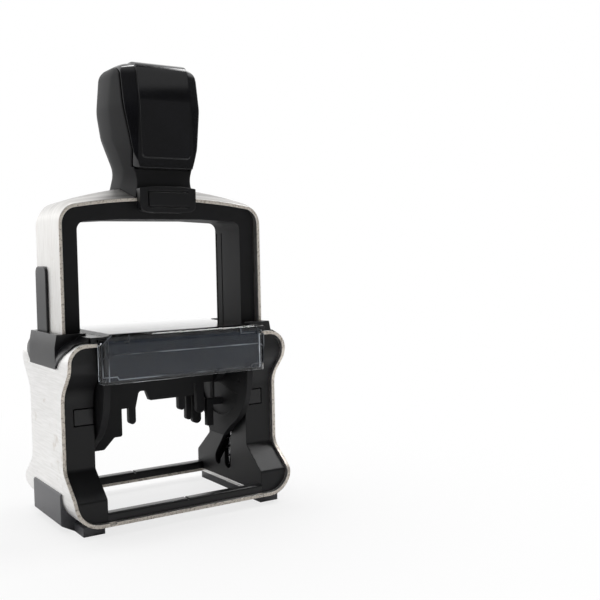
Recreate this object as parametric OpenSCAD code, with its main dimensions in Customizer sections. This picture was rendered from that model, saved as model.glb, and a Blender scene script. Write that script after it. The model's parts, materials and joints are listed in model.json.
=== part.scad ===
// Self-inking address stamp: steel-clad base with a sprung bow that turns the die from pad to paper.
// Millimetres. X is the width, Y runs front to back, Z is up. The origin is under the middle of the base.

/* [Die and pad] */
// Length of the rubber die, across the stamp
die_l = 56; // [50:0.5:62]
// Width of the rubber die, front to back
die_w = 33; // [29:0.5:35]
// Height of the printing face above the carrier's axle
die_face_h = 10.7; // [10.2:0.1:11.8]
// Thickness of the plate that backs the die
die_plate_t = 1; // [0.8:0.1:1.4]
// Thickness of the rubber sheet under the print
die_sheet_t = 1.2; // [0.8:0.1:1.4]
// Height of the raised print
print_t = 0.8; // [0.5:0.1:1]
// Number of raised bars in the print
print_bars = 5; // [3:1:7]
// Bare margin round the print
print_margin = 3; // [1:0.5:5]
// Space at rest between the die and the pad
pad_gap = 1; // [0.9:0.1:1.6]
// Thickness of the ink pad
pad_t = 3.6; // [3:0.1:4.2]
// How far the pad reaches past the die on each side
pad_over = 1.2; // [0.6:0.1:1.6]
// Wall of the pad tray
tray_t = 1; // [0.8:0.1:1.2]

/* [Press] */
// Travel of the bow from rest to paper
stroke = 37; // [34:0.5:40]
// Free height left under the arch at the end of the stroke
press_clear = 1.5; // [1.1:0.1:2.2]
// Free height left under the legs at the end of the stroke
leg_end_clear = 1.3; // [0.6:0.1:2]
// Radius of the axle pins
axle_r = 2; // [1.6:0.1:2.2]
// Radius of the follower pins
follower_r = 1.8; // [1.4:0.1:2]
// Distance from the axle to the follower pins
follower_arm = 8; // [7:0.25:9]
// Running clearance on the axle pins, on the radius
axle_fit = 0.05; // [0.02:0.01:0.1]
// Free play of the pins in their slots, on each side
slot_play = 0.4; // [0.3:0.05:0.6]
// Thickness of the carrier's cheeks
cheek_t = 2.4; // [2:0.1:3]
// Rim left round the pocket in each cheek
cheek_rim = 4.8; // [3:0.1:6]

/* [Base] */
// Height of the feet under the steel
foot_h = 3; // [2:0.25:4]
// Thickness of the steel
steel_t = 1.2; // [1:0.1:1.5]
// Bend radius at the top of the base
bend_top_r = 6.5; // [5:0.25:8]
// Bend radius at the bottom of the base
bend_bottom_r = 9; // [7:0.25:10]
// How far the top swells past the waist, front and back
crown_flare = 8; // [6:0.25:9]
// How far the bottom swells past the waist, front and back
toe_flare = 10.5; // [9:0.25:12]
// Height at which the bottom swell starts to draw in
toe_z = 11.8; // [10:0.2:13]
// Height at which the waist starts
waist_z = 20.2; // [18.5:0.2:22]
// Depth below the base's top at which the waist ends
waist_drop = 17.4; // [16:0.2:19]
// Depth below the base's top at which the top swell is full
crown_drop = 8.9; // [8:0.1:10]
// How far the black liner lies back from the steel's edge
liner_inset = 1.75; // [1:0.05:2.25]
// Thickness of the liner's inner walls
wall_t = 1.6; // [1.2:0.1:2]
// Thickness of the liner's front and back walls at the waist
flange_t = 1.85; // [1.5:0.05:2.25]
// Thickness of the liner's floor under the legs
floor_t = 1.5; // [1.2:0.1:1.8]
// Width of the front and back rails
rail_w = 3.95; // [3:0.05:4.5]
// Height of the rails above the steel
rail_h = 2.9; // [2.2:0.1:3.2]
// Free space beside the die, at each end
die_side_clear = 1.5; // [1.2:0.1:2]
// How far the steel's sill stands inside the liner's inner wall
sill_in = 0.1; // [0:0.05:0.4]
// How far the side of each foot stands proud of the steel
foot_proud = 0.6; // [0.4:0.1:1]
// Height of the side of each foot above the floor
foot_side_h = 13.2; // [11:0.2:15]
// Half depth of the side of each foot
foot_side_d = 14.6; // [12:0.2:16]
// Half depth of the feet's bars under the steel
foot_bar_d = 23.5; // [21:0.25:24]

/* [Top] */
// Height of the cover above the top of the steel
cap_h = 3; // [2.6:0.1:3.6]
// Thickness of the pad bridge's plate
bridge_t = 1; // [0.8:0.1:1.2]
// Thickness of the clear window
window_t = 1; // [0.8:0.1:1.2]
// How far the window stands in front of the steel
window_proud = 3.4; // [3:0.1:4]
// Height of the window's front
window_h = 16.5; // [15:0.25:17.5]
// Cut at the window's upper corners, across and down
window_cut = 3.6; // [2:0.1:4.5]
// Bevel at the window's ends
window_bevel = 1.8; // [1:0.1:2.2]
// Round at the window's top edge
window_r = 3; // [2:0.1:3.5]
// Wall of the shoulders in front of and behind the legs
collar_t = 1.1; // [0.9:0.1:2]
// Height of the shoulder's top above the steel
collar_h = 2.8; // [2:0.1:3.2]
// How far the shoulder's apron hangs over the steel's side
apron_h = 8.6; // [7:0.2:10]
// How far the apron stands proud of the steel
apron_proud = 0.6; // [0.4:0.1:1]
// Width of the curved ramp beside the window
ramp_w = 5; // [4:0.25:6]

/* [Bow] */
// Depth of the bow, front to back
bow_d = 25; // [23:0.5:27]
// Thickness of a leg, steel and liner
leg_t = 7.2; // [6.8:0.1:8]
// Height of the arch, steel and liner
arch_t = 7.4; // [6.4:0.1:8.4]
// Radius of the arch's gentle rise
arch_r = 230; // [180:1:260]
// Rise of the arch's crown above its front and back edges
crown_rise = 4.2; // [3:0.1:5]
// Bend radius at the corners of the bow
bow_bend_r = 6.5; // [5:0.25:8]
// How far the bow's liner lies back from the steel's edge
bow_inset = 2.8; // [2:0.1:3.5]
// Round in the corners of the finger gap
gap_r = 3; // [2:0.25:5]
// Thickness of the side strips
strip_t = 0.9; // [0.6:0.1:1]
// Height of the side strips above the shoulders
strip_h = 22.6; // [18:0.2:26]
// Free play of the legs in the base
leg_clear = 0.4; // [0.3:0.05:0.6]

/* [Grip] */
// Height of the grip above the arch
grip_h = 46.7; // [43:0.1:50]
// Half width of the grip's belly
grip_w = 17.2; // [16:0.1:18.5]
// Half width of the grip's neck
neck_w = 12.4; // [11.6:0.1:13.2]
// Half depth of the grip's belly
grip_d = 15; // [14:0.1:16]
// Depth of the grip's neck, in front of the bow's middle
neck_d = 11.6; // [10.6:0.1:12.6]
// How far the panel on the gloss cover stands proud
panel_proud = 0.5; // [0.3:0.1:0.8]
// Wall of the gloss cover
cover_t = 1.6; // [1.2:0.1:2]
// Half width of the clips in front of and behind the bow
clip_w = 10.7; // [9:0.1:12]
// Height of the clips
clip_h = 9.6; // [8:0.1:10.5]
// How far the clips stand proud of the bow's steel
clip_proud = 2.8; // [1.5:0.1:3.4]

/* [Locks] */
// Width of a lock button
lock_w = 6.8; // [6:0.1:7.2]
// Height of a lock button
lock_h = 5.5; // [4.5:0.1:6.5]
// Height of the lock buttons' middle above the floor
lock_z = 38.1; // [34:0.2:40]
// Travel of a lock button
lock_travel = 1.5; // [1:0.1:2]
// Gap round a lock button
lock_gap = 0.25; // [0.2:0.05:0.4]

/* [Springs] */
// Thickness of the spring wire
wire_t = 0.8; // [0.6:0.05:0.9]
// Mean radius of the springs
spring_r = 2.1; // [1.9:0.05:2.2]
// Free space round the springs in the legs
spring_play = 0.25; // [0.2:0.05:0.35]
// Length of the springs at rest
spring_l = 74; // [66:1:80]
// Turns of each spring
spring_turns = 20; // [14:1:22]

/* [Hidden] */
$fn = 48;
// Segments of a rounded corner in an outline
arc_n = 8;
// Reach of a cut past the solid that it opens
over = 1;
// A length longer than the whole stamp
far = 200;

// Clearance of a pressed pin in its hole, on the radius
press_fit = 0.02;

// Widths, from the die outwards
well = die_l / 2 + die_side_clear;
wall_out = well + wall_t;
leg_in = wall_out + leg_clear;
leg_out = leg_in + leg_t;
strip_out = leg_out + strip_t;
// Room between a strip and the steel beside it
strip_clear = 0.5;
shell_in = strip_out + strip_clear;
shell_out = shell_in + steel_t;
// Gap between the window or the bridge and the steel beside it
top_gap = 0.1;
bridge_end = wall_out - top_gap;
// Room beside the tray's runners, and the tray's room in the well
runner_clear = 0.6;
tray_side = 0.5;
runner = bridge_end - runner_clear;
tray_half = well - tray_side;
// The panels stop short of the bridge's ends
panel_half = bridge_end - 0.3;
// Reach of the bridge's feet over the steel
bridge_wing = 2;

// Depths, from the bow outwards
bow_half = bow_d / 2;
// Extra room of the liners' channels over the shoulders' guides
channel_spare = 0.1;
channel_half = bow_half + leg_clear + channel_spare;
collar_d = bow_half + leg_clear + collar_t;
liner_waist = channel_half + flange_t;
waist_half = liner_waist + liner_inset;
crown_half = waist_half + crown_flare;
toe_half = waist_half + toe_flare;
rail_out = toe_half - liner_inset;
rail_in = rail_out - rail_w;
window_y = -(crown_half + window_proud);
// Step from the steel's back edge to the cover's
cover_back = crown_half - 0.6;
// Panels that close the front and the back of the top, on the liners' faces
panel_in = crown_half - liner_inset;
panel_t = 1.5;
// Front and back edges of the side strips
strip_front = 0.6;
strip_back = bow_half - 0.6;

// Heights, from the paper upwards
axle_z = stroke + die_face_h;
pad_z = axle_z + die_face_h + pad_gap;
tray_top = pad_z + pad_t + tray_t;
// Running room of the pad tray
tray_clear = 0.4;
bridge_z = tray_top + tray_clear;
cover_z = bridge_z + bridge_t;
cover_top = cover_z + window_t;
shell_top = cover_top - cap_h;
liner_top = shell_top - steel_t;
floor_top = foot_h + steel_t + floor_t;
leg_bottom = floor_top + stroke + leg_end_clear;
arch_in = cover_top + stroke + press_clear;
arch_top = arch_in + arch_t;
waist_top = shell_top - waist_drop;
crown_z = shell_top - crown_drop;
window_z = cover_top - window_h;
collar_top = shell_top + collar_h;
// Lower end of the steel legs and their strips
skirt_z = crown_z - 2;

// Springs and the posts that guide them, behind the axle
spring_web = 1.6;
post_play = 0.4;
spring_rest = 0.05;
spring_bore = spring_r + wire_t / 2 + spring_play;
spring_x = leg_out - steel_t - spring_bore;
spring_y = axle_r + spring_bore + spring_web;
spring_seat = floor_top + spring_l + 2 * spring_rest;
post_r = spring_r - wire_t / 2 - post_play;
// Free space over the posts at the end of the stroke
post_clear = 3;
post_h = spring_l - stroke - post_clear;
// Depth of the posts' sockets in the liners' floors
post_sink = 0.3;

// Die carrier: its cheeks swing just clear of the panels and the liners' walls
swing_clear = 0.5;
cheek_clear = 0.9;
cheek_r = panel_in - swing_clear;
cheek_out = well - cheek_clear;
cheek_in = cheek_out - cheek_t;
carrier_top = die_face_h - die_plate_t - die_sheet_t - print_t;
plate_t = 2;
// How far the axle pins reach past the cheeks, into bosses, and how deep they sit in the legs
axle_reach = 1.5;
axle_hold = 5;
boss_l = 3;
// Floor of the follower pins' sockets, and their free space in the leg's channel
follower_floor = 0.8;
follower_end = wall_out - 0.4;

// Heights of the grip's forms above the arch
neck_h = 8;
swell_h = 20;
belly_h = 31.5;
cover_h = 10;
panel_h = 13.5;
// Half width of the gloss cover at its lower edge and above, and of the raised panel on it
cover_low = 11.2;
cover_high = 14.4;
panel_low = 9.2;
panel_high = 9.7;
// Turn of the planes at the grip's corners and of its bevels, from its sides
corner_turn = 20;
bevel_turn = 56;

function unit(v) = v / norm(v);
function turned(v, a) = [v[0] * cos(a) - v[1] * sin(a), v[0] * sin(a) + v[1] * cos(a)];
function flip_x(points) =
  [for (i = [len(points) - 1 : -1 : 0]) [-points[i][0], points[i][1], points[i][2]]];
function xy(p) = [p[0], p[1]];

// Arc of radius r that rounds the corner b between a and c
function corner_arc(a, b, c, r) =
  let (
    u = unit(a - b),
    v = unit(c - b),
    half = acos(max(-1, min(1, u * v))) / 2,
    centre = b + unit(u + v) * r / sin(half),
    first = b + u * r / tan(half) - centre,
    side = u[0] * v[1] - u[1] * v[0] > 0 ? -1 : 1
  )
  [for (i = [0 : arc_n]) centre + turned(first, side * (180 - 2 * half) * i / arc_n)];

// Closed outline from corners given as [x, y, radius]
function rounded(corners) =
  let (n = len(corners))
  [for (i = [0 : n - 1])
    let (
      a = xy(corners[(i + n - 1) % n]),
      b = xy(corners[i]),
      c = xy(corners[(i + 1) % n]),
      r = corners[i][2]
    )
    each (r > 0 ? corner_arc(a, b, c, r) : [b])];

// Outlines that are the same on both sides, from the corners of the right half, bottom to top
function both_sides(right) = rounded(concat(right, flip_x(right)));

// Draws an outline of X and Z, and carries it along Y
module along_y(depth) {
  rotate([90, 0, 0]) linear_extrude(depth, center = true) children();
}

// Draws an outline of Y and Z, and carries it along X
module along_x(width) {
  rotate([90, 0, 90]) linear_extrude(width, center = true) children();
}

// A block between two corners
module block(low, high) {
  translate(low) cube(high - low);
}

// The same solid at the left and at the right
module at_side(side) {
  mirror([side < 0 ? 1 : 0, 0, 0]) children();
}

// Front outline of the base's steel, drawn in by an inset
module band_outline(inset) {
  polygon(both_sides([
    [shell_out - inset, foot_h + inset, bend_bottom_r - inset],
    [shell_out - inset, shell_top - inset, bend_top_r - inset]
  ]));
}

// Side outline of the base: full at the top and bottom, drawn in at the waist
module side_outline(inset, toe_r) {
  waist_r = 9;
  crown_r = 7;
  polygon(both_sides([
    [toe_half - inset, foot_h - over, 0],
    [toe_half - inset, toe_z, toe_r],
    [waist_half - inset, waist_z, toe_r],
    [waist_half - inset, waist_top, waist_r],
    [crown_half - inset, crown_z, crown_r],
    [crown_half - inset, shell_top + over, 0]
  ]));
}

// Solid inside the base's steel, out to an inset from its face and its edges
module base_form(inset, edge_inset, toe_r = 5) {
  intersection() {
    along_y(2 * toe_half + 2 * over) band_outline(inset);
    along_x(far) side_outline(edge_inset, toe_r);
  }
}

// Room that a leg and its strip need through the top of the base
module leg_room() {
  block([wall_out, -bow_half - leg_clear, skirt_z],
        [leg_out + leg_clear, bow_half + leg_clear, collar_top + over]);
  block([leg_out, strip_front - leg_clear, skirt_z],
        [strip_out + leg_clear, bow_half + leg_clear, collar_top + over]);
}

module base_shell() color("gainsboro") {
  rail_ledge = 0.6;
  opening_x = well - sill_in;
  opening_y = rail_in + rail_ledge;
  // Notch in the front edge at each end of the rail
  notch_w = 2.4;
  notch_d = 1.2;
  notch_z = foot_h + steel_t / 2;
  difference() {
    base_form(0, 0);
    along_y(far) band_outline(steel_t);
    block([-opening_x, -opening_y, 0], [opening_x, opening_y, foot_h + steel_t + over]);
    block([-wall_out, -far, liner_top - over], [wall_out, far, shell_top + over]);
    for (side = [-1, 1]) at_side(side) {
      leg_room();
      block([well - notch_w, -toe_half - over, notch_z],
            [well, -toe_half + notch_d, foot_h + steel_t + over]);
    }
  }
}

// Path of a follower pin, in Y and Z, while the die turns by a degrees
function follower_at(a) = [
  -follower_arm * cos(a),
  axle_z - stroke * a / 180 - follower_arm * sin(a)
];

// Curved slot that a follower pin runs in
module cam_slot(r) {
  steps = 24;
  points = [for (i = [0 : steps]) follower_at(180 * i / steps)];
  last = len(points) - 1;
  normals = [for (i = [0 : last])
    turned(unit(points[min(i + 1, last)] - points[max(i - 1, 0)]), 90)];
  polygon(concat(
    [for (i = [0 : last]) points[i] + r * normals[i]],
    [for (i = [last : -1 : 0]) points[i] - r * normals[i]]
  ));
  for (end = [points[0], points[last]]) translate(end) circle(r);
}

// Straight slot that an axle pin runs in
module axle_slot(r) {
  translate([-r, axle_z - stroke]) square([2 * r, stroke]);
  for (z = [axle_z - stroke, axle_z]) translate([0, z]) circle(r);
}

module liner(side) {
  lock_low = lock_z - lock_h / 2 - lock_gap;
  lock_high = lock_z + lock_h / 2 + lock_gap;
  lock_spare = 0.5;
  // The liner's toe has crisp facets
  toe_r = 1.2;
  at_side(side) difference() {
    base_form(steel_t, liner_inset, toe_r);
    block([-far, -far, 0], [well, far, far]);
    block([wall_out, -channel_half, floor_top], [far, channel_half, far]);
    translate([(well + wall_out) / 2, 0, 0]) along_x(wall_t + over) {
      cam_slot(follower_r + slot_play);
      axle_slot(axle_r + slot_play);
    }
    block([well - over, -liner_waist - over, lock_low],
          [well + lock_w + lock_gap, -channel_half, lock_high]);
    block([well - over, -channel_half - over, lock_low],
          [leg_in, -channel_half + lock_travel + lock_spare, lock_high]);
    translate([spring_x, spring_y, floor_top - post_sink]) cylinder(r = post_r + press_fit, h = far);
  }
}

module left_liner() color("#1b1b1e") liner(-1);
module right_liner() color("#1b1b1e") liner(1);

// Rail between the liners, with a centre mark cut in its top
module rail(end) {
  mark_w = 0.8;
  mark_d = 0.6;
  edge_r = 0.7;
  top = foot_h + steel_t + rail_h;
  mirror([0, end < 0 ? 1 : 0, 0]) difference() {
    along_x(2 * well) polygon(rounded([
      [rail_in, foot_h + steel_t, 0],
      [rail_out, foot_h + steel_t, 0],
      [rail_out, top, edge_r],
      [rail_in, top, edge_r]
    ]));
    block([-mark_w / 2, rail_in - over, top - mark_d], [mark_w / 2, rail_out + over, top + over]);
  }
}

module front_rail() color("#18181b") rail(-1);
module back_rail() color("#18181b") rail(1);

// Shoulder that guides a leg, with a saddle over the bend of the steel and curved ramps up to the bridge
module shoulder(side) {
  lip_h = 4.2;
  saddle_low = shell_top - apron_h + 1;
  saddle_full = shell_top - 1.2;
  saddle_back = 0.5;
  draft = 0.8;
  ramp_r = 6;
  ramp_x = bridge_end + bridge_wing;
  ramp_d = crown_half - 2;
  face = shell_out + apron_proud;
  at_side(side) difference() {
    union() {
      along_y(2 * collar_d) polygon([
        [wall_out, liner_top],
        [face, shell_top - apron_h],
        [face, collar_top - lip_h],
        [face - draft, collar_top],
        [wall_out, collar_top]
      ]);
      for (end = [-1, 1]) mirror([0, end < 0 ? 1 : 0, 0]) translate([0, (collar_d + ramp_d) / 2, 0])
        along_y(ramp_d - collar_d) difference() {
          translate([ramp_x, shell_top]) square([ramp_w, cap_h - window_t]);
          translate([ramp_x + ramp_w, shell_top + ramp_r]) circle(ramp_r);
        }
      intersection() {
        along_y(far) band_outline(-apron_proud);
        along_x(far) polygon(both_sides([
          [collar_d, saddle_low, 0],
          [ramp_d - saddle_back, saddle_full, 0],
          [ramp_d - saddle_back, shell_top + over, 0]
        ]));
        block([ramp_x + saddle_back, -far, 0], [far, far, far]);
      }
    }
    base_form(0, -2 * over);
    leg_room();
  }
}

module left_shoulder() color("#222226") shoulder(-1);
module right_shoulder() color("#222226") shoulder(1);

module pad_bridge() color("#141416") {
  foot_out = bridge_end + bridge_wing;
  block([-runner, -cover_back, bridge_z], [runner, cover_back, cover_z]);
  for (side = [-1, 1]) at_side(side)
    for (end = [-1, 1]) mirror([0, end < 0 ? 1 : 0, 0]) {
      block([0, collar_d, bridge_z], [foot_out, cover_back, cover_z]);
      block([bridge_end, collar_d, shell_top], [foot_out, cover_back, cover_z]);
    }
}

module card_panel() color("#202126") {
  block([-panel_half, -panel_in - panel_t, window_z + window_t], [panel_half, -panel_in, bridge_z]);
}

module rear_panel() color("#141416") {
  block([-panel_half, panel_in, window_z + window_t], [panel_half, panel_in + panel_t, pad_z]);
}

// Outer form of the clear window: front outline, side outline and plan together
module window_form() {
  half = bridge_end;
  edge_r = 0.6;
  back_r = 0.8;
  intersection() {
    along_y(far) polygon(both_sides([
      [half, window_z, edge_r],
      [half, cover_top - window_cut, 0],
      [half - window_cut, cover_top, 0]
    ]));
    along_x(far) polygon(rounded([
      [window_y, window_z, edge_r],
      [cover_back, window_z, 0],
      [cover_back, cover_top, back_r],
      [window_y, cover_top, window_r]
    ]));
    linear_extrude(far) polygon([
      [half, cover_back], [half, window_y + window_bevel], [half - window_bevel, window_y],
      [window_bevel - half, window_y], [-half, window_y + window_bevel], [-half, cover_back]
    ]);
  }
}

module index_window() color([0.8, 0.85, 0.9, 0.35]) {
  inner = bridge_end - window_t;
  difference() {
    window_form();
    block([-inner, window_y + window_t, window_z + window_t], [inner, far, cover_z]);
    block([-far, -panel_in - panel_t, 0], [far, far, cover_z]);
  }
}

// Card that stands on the window's lower ledge
module index_card() color("#3a3c44") {
  margin = 1.4;
  gap = 0.15;
  card_t = 0.3;
  half = bridge_end - window_t - margin;
  front = window_y + window_t + gap;
  block([-half, front, window_z + window_t], [half, front + card_t, cover_z - margin]);
}

module foot(side) {
  sole_back = 4.5;
  sole_rise = 2.4;
  lip_w = 2;
  edge_r = 0.8;
  outer = shell_out + foot_proud;
  bar_back = 0.5;
  bar_x = well + bar_back;
  at_side(side) difference() {
    union() {
      along_y(2 * foot_side_d) polygon(rounded([
        [bar_x, 0, 0],
        [outer - sole_back, 0, 0],
        [outer, sole_rise, edge_r],
        [outer, foot_side_h, edge_r],
        [shell_out - lip_w, foot_side_h, 0],
        [bar_x, foot_h + steel_t, 0]
      ]));
      block([bar_x, -foot_bar_d, 0], [outer - sole_back, foot_bar_d, foot_h]);
    }
    along_y(far) band_outline(0);
  }
}

module left_foot() color("#2a2a2e") foot(-1);
module right_foot() color("#2a2a2e") foot(1);

module spring_post(side) {
  tip = 1;
  at_side(side) translate([spring_x, spring_y, floor_top - post_sink]) {
    cylinder(r = post_r, h = post_h - tip);
    translate([0, 0, post_h - tip]) cylinder(r1 = post_r, r2 = post_r / 2, h = tip);
  }
}

module left_spring_post() color("silver") spring_post(-1);
module right_spring_post() color("silver") spring_post(1);

// Spring wire swept along a helix, with its least gap to itself measured on the wire's middle
curl_rings = 8;
wire_sides = 6;
spring_steps = spring_turns * curl_rings;
function spring_at(i) =
  let (a = 360 * i / curl_rings)
  [
    spring_r * cos(a),
    spring_r * sin(a),
    wire_t / 2 + (spring_l - wire_t) * i / spring_steps
  ];
function wire_ring(i) =
  let (a = 360 * i / curl_rings, centre = spring_at(i))
  [for (j = [0 : wire_sides - 1])
    let (b = 360 * j / wire_sides)
    centre + wire_t / 2 * [cos(b) * cos(a), cos(b) * sin(a), sin(b)]];
spring_gap = min([for (i = [0 : curl_rings])
  for (j = [i + curl_rings / 2 : i + 2 * curl_rings])
    norm(spring_at(i) - spring_at(j)) - wire_t]);
echo(spring_gap = spring_gap);

module spring(side) {
  points = [for (i = [0 : spring_steps]) each wire_ring(i)];
  sides = [for (i = [0 : spring_steps - 1])
    for (j = [0 : wire_sides - 1])
      let (
        a = i * wire_sides + j,
        b = i * wire_sides + (j + 1) % wire_sides
      )
      each [[a, a + wire_sides, b], [b, a + wire_sides, b + wire_sides]]];
  last = spring_steps * wire_sides;
  ends = [for (j = [1 : wire_sides - 2]) each [[0, j, j + 1], [last, last + j + 1, last + j]]];
  at_side(side) translate([spring_x, spring_y, floor_top + spring_rest])
    polyhedron(points, concat(sides, ends));
}

module left_spring() color("lightgray") spring(-1);
module right_spring() color("lightgray") spring(1);

// Lock button in the front wall of a liner, with a rim behind the wall
module lock(side) {
  rim_t = 0.5;
  rim_w = 0.6;
  rim_gap = 0.1;
  side_gap = 0.05;
  back = -channel_half + rim_gap;
  at_side(side) {
    block([well + side_gap, -liner_waist, lock_z - lock_h / 2], [well + lock_w, back, lock_z + lock_h / 2]);
    block([leg_in, back, lock_z - lock_h / 2 - rim_w],
          [well + lock_w + rim_w, back + rim_t, lock_z + lock_h / 2 + rim_w]);
  }
}

module left_lock() color("#26262a") lock(-1);
module right_lock() color("#26262a") lock(1);

// Front outline of the bow out to an inset from its steel's face, down to a given height
module bow_outline(inset, bottom, top, radius) {
  half = leg_out - inset;
  edge = half - bow_bend_r;
  step = edge / 6;
  corner_z = top - inset - edge * (edge / 2 + bow_bend_r) / radius;
  polygon(both_sides(concat(
    [[half, bottom, 0], [half, corner_z, bow_bend_r - inset]],
    [for (x = [edge - step : -step : 0]) [x, top - inset - x * x / (2 * radius), 0]]
  )));
}

// Bow out to an inset from its steel's face: its arch slopes up from the front and back edges to a crown
module bow_form(inset, bottom, depth) {
  crown_flat = 2.5;
  slope = atan(crown_rise / (bow_half - crown_flat));
  reach = leg_out - bow_bend_r;
  drop = reach * (reach / 2 + bow_bend_r);
  crown_r = drop / (crown_rise + drop / arch_r);
  intersection() {
    along_y(depth) bow_outline(inset, bottom, arch_top + crown_rise, crown_r);
    translate([0, -bow_half, arch_top]) rotate([slope, 0, 0]) translate([0, 0, -arch_top])
      along_y(far) bow_outline(inset, -far, arch_top, arch_r);
    translate([0, bow_half, arch_top]) rotate([-slope, 0, 0]) translate([0, 0, -arch_top])
      along_y(far) bow_outline(inset, -far, arch_top, arch_r);
  }
}

// Finger gap under the arch
module gap_outline() {
  sag = 1.1;
  polygon(both_sides([
    [leg_in, leg_bottom - over, 0],
    [leg_in, arch_in - sag, gap_r],
    [leg_in / 2, arch_in - sag / 4, 0]
  ]));
}

module bow_band() color("gainsboro") {
  difference() {
    bow_form(0, skirt_z, bow_d);
    bow_form(steel_t, skirt_z - over, far);
  }
}

module bow_liner() color("#1c1c20") {
  depth = bow_d - 2 * bow_inset;
  groove_w = 0.5;
  groove_d = 0.4;
  groove_end = 5;
  difference() {
    bow_form(steel_t, leg_bottom, depth);
    along_y(far) gap_outline();
    for (side = [-1, 1]) at_side(side) {
      translate([spring_x, spring_y, leg_bottom - over])
        cylinder(r = spring_bore, h = spring_seat - leg_bottom + over);
      block([spring_x, spring_y - spring_bore, leg_bottom - over],
            [leg_out, spring_y + spring_bore, spring_seat]);
      translate([leg_in - over, 0, axle_z]) rotate([0, 90, 0])
        cylinder(r = axle_r + press_fit, h = axle_hold + over);
      for (y = [spring_y - axle_r, spring_y + axle_r])
        block([leg_in - over, y, leg_bottom - over],
              [leg_in + groove_d, y + groove_w, arch_in - groove_end]);
    }
  }
}

module strip(side) {
  top = collar_top + strip_h;
  end_r = 2.5;
  at_side(side) translate([(leg_out + strip_out) / 2, 0, 0]) along_x(strip_t) polygon(rounded([
    [strip_front, skirt_z, 0],
    [strip_back, skirt_z, 0],
    [strip_back, top, end_r],
    [strip_front, top, end_r]
  ]));
}

module left_strip() color("#2b2b2f") strip(-1);
module right_strip() color("#2b2b2f") strip(1);

module axle_pin(side) {
  inner_end = cheek_in - axle_reach;
  at_side(side) translate([inner_end, 0, axle_z]) rotate([0, 90, 0])
    cylinder(r = axle_r, h = leg_in + axle_hold - inner_end);
}

module left_axle_pin() color("silver") axle_pin(-1);
module right_axle_pin() color("silver") axle_pin(1);

// Grip outlines, each given by corners of one half: distance from the axis, height above the arch, blend
root_h = -2;
neck_blend = 10;
belly_blend = 20;
top_blend = 5;
crease_out = 0.08;
function grip_front(grow) = [
  [neck_w + 2.4 + grow, root_h, 0],
  [neck_w + grow, neck_h, neck_blend],
  [grip_w - 1 + grow, swell_h, belly_blend],
  [grip_w + grow, belly_h, belly_blend],
  [grip_w - 1.4 + grow, grip_h + grow, top_blend]
];
function depth_front(grow) = [
  [neck_d + 1.2 + grow, root_h, 0],
  [neck_d + grow, cover_h - 0.1, 0],
  [grip_d - 0.5 + grow, cover_h, 0],
  [grip_d + grow, belly_h, belly_blend],
  [grip_d - 3 + grow, grip_h + grow, 5]
];
function depth_back(grow) = [
  [neck_d - 1 + grow, root_h, 0],
  [neck_d - 3 + grow, neck_h, neck_blend],
  [grip_d - 2 + grow, swell_h, belly_blend],
  [grip_d - 0.6 + grow, belly_h, belly_blend],
  [grip_d - 3 + grow, grip_h + grow, 5]
];
function corner_front(grow) = [
  [neck_w + 3 + grow, root_h, 0],
  [neck_w + 0.9 + grow, neck_h - 2, neck_blend],
  [grip_w - 0.7 + grow, swell_h - 3, belly_blend],
  [grip_w + 0.6 + grow, belly_h, belly_blend],
  [grip_w - 0.4 + grow, grip_h + grow, top_blend]
];
function corner_back(grow) = [
  [neck_w + 3.4 + grow, root_h, 0],
  [neck_w + 0.5 + grow, neck_h + 2, neck_blend],
  [grip_w - 0.1 + grow, swell_h + 2.5, neck_blend],
  [grip_w + 1.2 + grow, belly_h, belly_blend],
  [grip_w - 0.2 + grow, grip_h + grow, top_blend]
];
function bevel(grow) = [
  [grip_d + 3.1 + grow, root_h, 0],
  [grip_d + 3.1 + grow, belly_h, belly_blend],
  [grip_d + 0.6 + grow, grip_h + grow, top_blend]
];
function cover_front(grow) = [
  [cover_low + grow, cover_h - grow, 1.5],
  [cover_high + grow, belly_h, 30],
  [cover_high + grow, far / 2, 0]
];
panel_front = [
  [panel_low, panel_h, 1.5],
  [panel_high, belly_h, 30],
  [panel_high, far / 2, 0]
];

// Outline halfway between two others, set out a little so that it takes off just the crease between them
function between(a, b) = [for (i = [0 : len(a) - 1]) (a[i] + b[i]) / 2 + [crease_out, 0, 0]];

// Planes at two opposite corners of the grip, one in front and one at the back
module corner_form(turn, back, front) {
  rotate([0, 0, turn]) along_y(far) polygon(rounded(concat(back, flip_x(front))));
}

// Grip out to a growth past its face
module grip_form(grow) {
  front = corner_front(grow);
  back = corner_back(grow);
  half_front = between(grip_front(grow), front);
  half_back = between(grip_front(grow), back);
  translate([0, 0, arch_top]) intersection() {
    along_y(far) polygon(both_sides(grip_front(grow)));
    along_x(far) polygon(rounded(concat(depth_back(grow), flip_x(depth_front(grow)))));
    corner_form(corner_turn, back, front);
    mirror([1, 0, 0]) corner_form(corner_turn, back, front);
    corner_form(corner_turn / 2, half_back, half_front);
    mirror([1, 0, 0]) corner_form(corner_turn / 2, half_back, half_front);
    rotate([0, 0, bevel_turn]) along_y(far) polygon(both_sides(bevel(grow)));
    rotate([0, 0, -bevel_turn]) along_y(far) polygon(both_sides(bevel(grow)));
  }
}

// Part of the grip in front and on top that the gloss cover takes up
module cover_space(grow) {
  cover_end = grip_d - 5;
  translate([0, 0, arch_top]) intersection() {
    along_y(far) polygon(both_sides(cover_front(grow)));
    union() {
      block([-far, -far, 0], [far, 0, far]);
      block([-far, -far, belly_h], [far, cover_end + grow, far]);
    }
  }
}

module grip_body() color("#2f2f33") {
  groove = 0.25;
  difference() {
    union() {
      difference() {
        grip_form(0);
        cover_space(groove);
      }
      grip_form(-cover_t);
    }
    bow_form(0, 0, far);
  }
}

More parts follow.
